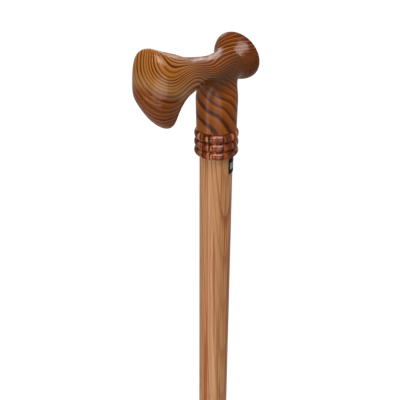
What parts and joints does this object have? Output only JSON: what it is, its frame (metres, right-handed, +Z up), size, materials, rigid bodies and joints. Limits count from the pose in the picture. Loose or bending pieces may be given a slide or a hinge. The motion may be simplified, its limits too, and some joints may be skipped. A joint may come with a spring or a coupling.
{
  "type": "walking cane",
  "caption": "Upright wooden walking cane with a carved palm grip, a round knob in front, a beaded collar, a tapered shaft and a ribbed rubber tip.",
  "frame": {"origin": "centre of the rubber tip's underside, where the cane meets the floor", "axes": "+Z up along the shaft, +X from the palm rest towards the knob, +Y across the grip"},
  "size_m": [0.1055, 0.0338, 0.9152],
  "materials": {
    "handle_wood": "polished, light and dark striped",
    "collar_wood": "polished red-brown hardwood",
    "shaft_wood": "clear-lacquered open-grained wood",
    "steel": "plain zinc-plated steel",
    "label_film": "thin dark film",
    "tip_rubber": "matt moulded rubber"
  },
  "bodies": {
    "cane": {"handle": "handle_wood", "collar": "collar_wood", "shaft": "shaft_wood", "label": "label_film", "dowel_screw": "steel"},
    "tip": {"rubber_tip": "tip_rubber", "tip_washer": "steel"}
  },
  "joints": [
    {"name": "tip_pull", "type": "slide", "parent": "cane", "child": "tip", "axis": [0, 0, -1], "range_m": [0, 0.04]}
  ]
}
